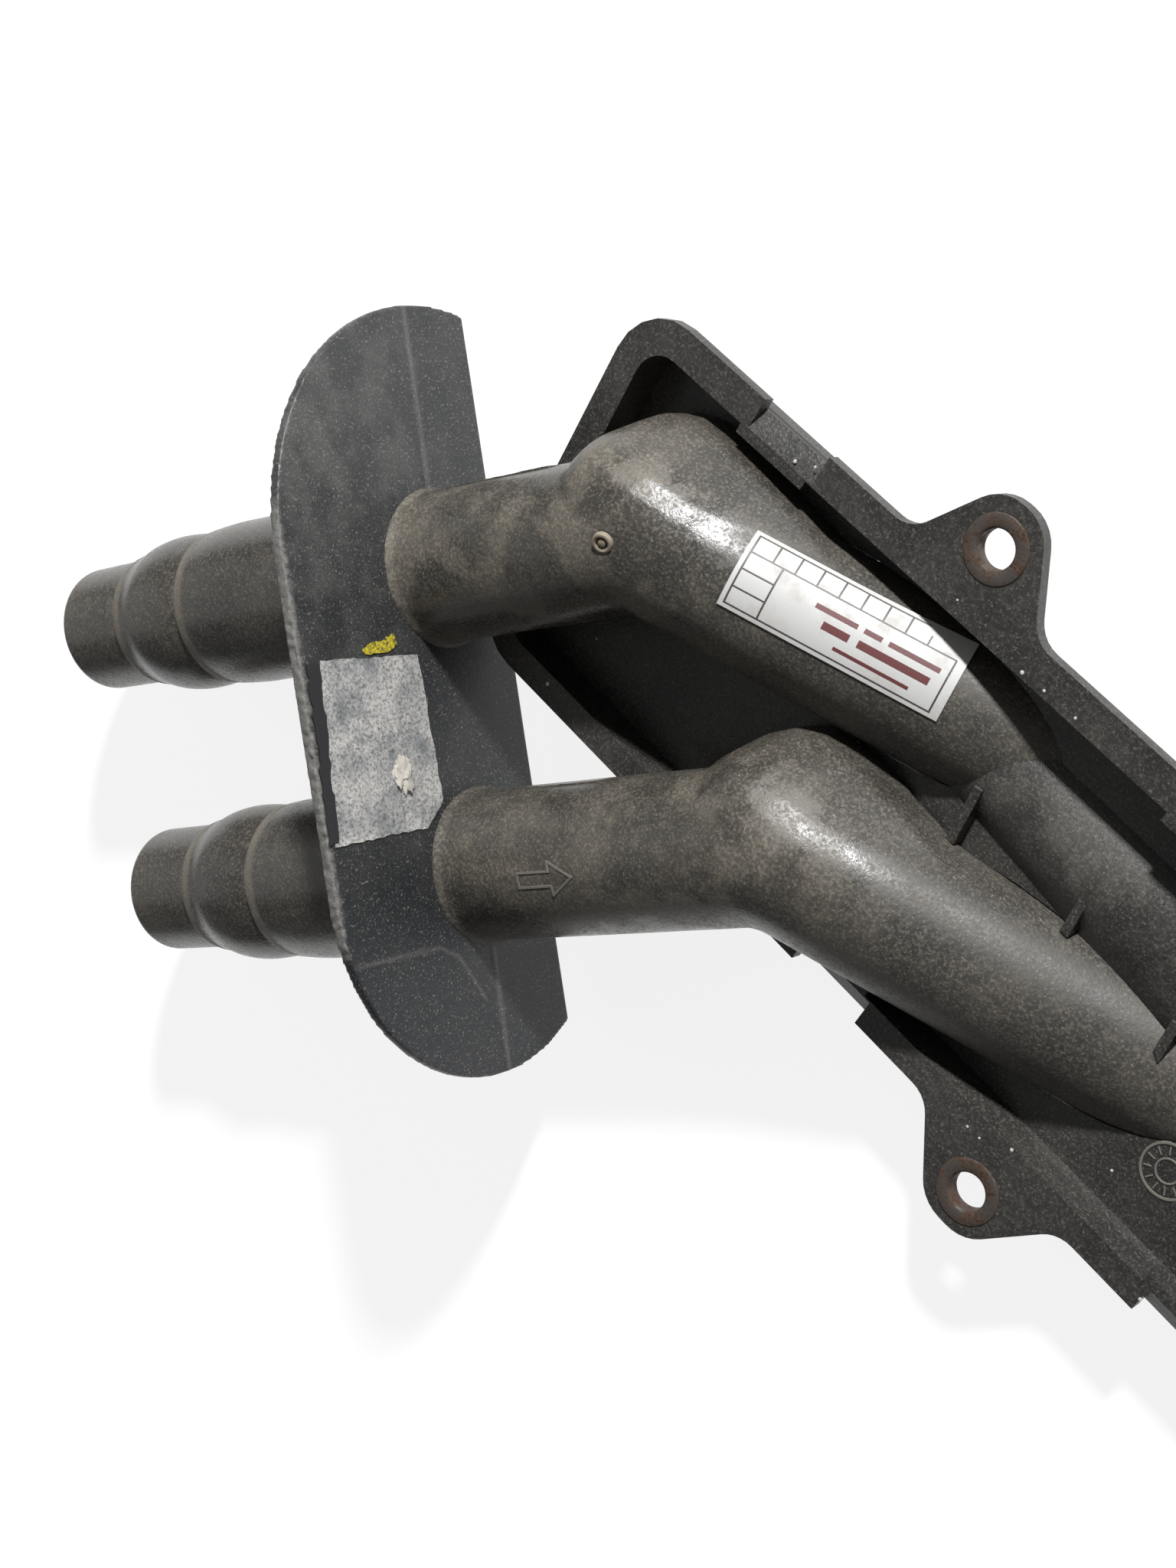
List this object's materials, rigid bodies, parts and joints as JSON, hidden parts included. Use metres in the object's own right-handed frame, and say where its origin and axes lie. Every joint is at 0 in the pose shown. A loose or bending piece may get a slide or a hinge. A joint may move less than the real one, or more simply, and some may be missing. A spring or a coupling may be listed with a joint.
{
  "type": "two-pipe intake manifold",
  "caption": "Moulded pipe manifold: parallel hose spigots pass a rounded bulkhead plate, bend and dive through a shallow flanged tray with bolt lugs",
  "frame": {"origin": "centre of the bounding box footprint, on its lowest plane, where the trimmed port mouths lie", "axes": "+X runs along the tray away from the spigots, +Z out of the tray's open side, +Y across the tray"},
  "size_m": [0.3242, 0.1874, 0.0597],
  "materials": {
    "nylon_pipe": "dusty moulded glass-filled nylon, fine etched grain",
    "nylon_tray": "dusty moulded glass-filled nylon, etched grain, small paint flecks",
    "nylon_plate": "scuffed moulded glass-filled nylon with a worn edge",
    "rusty_steel": "plain steel with light brown rust",
    "black_rubber": "matt rubber",
    "white_paper": "smooth white label, blank",
    "torn_paper": "torn grey-white paper backing"
  },
  "bodies": {
    "root": {"blank_label": "white_paper", "bulkhead_plate": "nylon_plate", "flange_tray": "nylon_tray", "lower_port_seal": "black_rubber", "lower_runner": "nylon_pipe", "lower_spigot": "nylon_pipe", "lug_bush_1": "rusty_steel", "lug_bush_2": "rusty_steel", "lug_bush_3": "rusty_steel", "lug_bush_4": "rusty_steel", "rim_seal": "black_rubber", "torn_label": "torn_paper", "upper_port_seal": "black_rubber", "upper_runner": "nylon_pipe", "upper_spigot": "nylon_pipe", "web_rib_1": "nylon_tray", "web_rib_2": "nylon_tray", "web_rib_3": "nylon_tray", "web_rib_4": "nylon_tray"}
  },
  "joints": []
}
